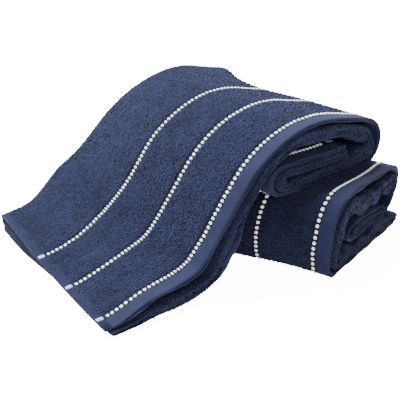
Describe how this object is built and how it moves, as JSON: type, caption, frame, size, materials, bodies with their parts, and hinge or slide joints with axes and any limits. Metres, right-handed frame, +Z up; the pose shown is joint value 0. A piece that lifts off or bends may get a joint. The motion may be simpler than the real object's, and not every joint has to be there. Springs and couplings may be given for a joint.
{
  "type": "bath towel set",
  "caption": "Navy terry bath towels with dotted woven stripes, folded and bent: one rolled on the floor, one laid skewed over it.",
  "frame": {"origin": "on the floor, under the middle of the set's bounding box", "axes": "+X along the upper towel's width, from its side hem on the floor towards the roll; +Y across it, from its hemmed front edge to its back fold; +Z up"},
  "size_m": [0.3696, 0.295, 0.1496],
  "materials": {
    "terry": "looped terry pile, matt",
    "hem": "flat plain weave, matt",
    "dot_stripe": "raised woven dots, matt"
  },
  "bodies": {
    "lower_towel": {"lower_terry_cloth": "terry", "lower_end_hem_a": "hem", "lower_end_hem_b": "hem", "lower_side_hem_outer": "hem", "lower_side_hem_inner": "hem", "lower_dot_stripe_a1": "dot_stripe", "lower_dot_stripe_a2": "dot_stripe", "lower_dot_stripe_a3": "dot_stripe", "lower_dot_stripe_b1": "dot_stripe", "lower_dot_stripe_b2": "dot_stripe", "lower_dot_stripe_b3": "dot_stripe"},
    "upper_towel": {"upper_terry_cloth": "terry", "upper_end_hem_a": "hem", "upper_end_hem_b": "hem", "upper_side_hem_outer": "hem", "upper_side_hem_inner": "hem", "upper_dot_stripe_a1": "dot_stripe", "upper_dot_stripe_a2": "dot_stripe", "upper_dot_stripe_a3": "dot_stripe", "upper_dot_stripe_b1": "dot_stripe", "upper_dot_stripe_b2": "dot_stripe", "upper_dot_stripe_b3": "dot_stripe"}
  },
  "joints": [
    {"name": "upper_towel_lift", "type": "slide", "parent": "lower_towel", "child": "upper_towel", "axis": [0, 0, 1], "range_m": [0, 0.25]}
  ]
}
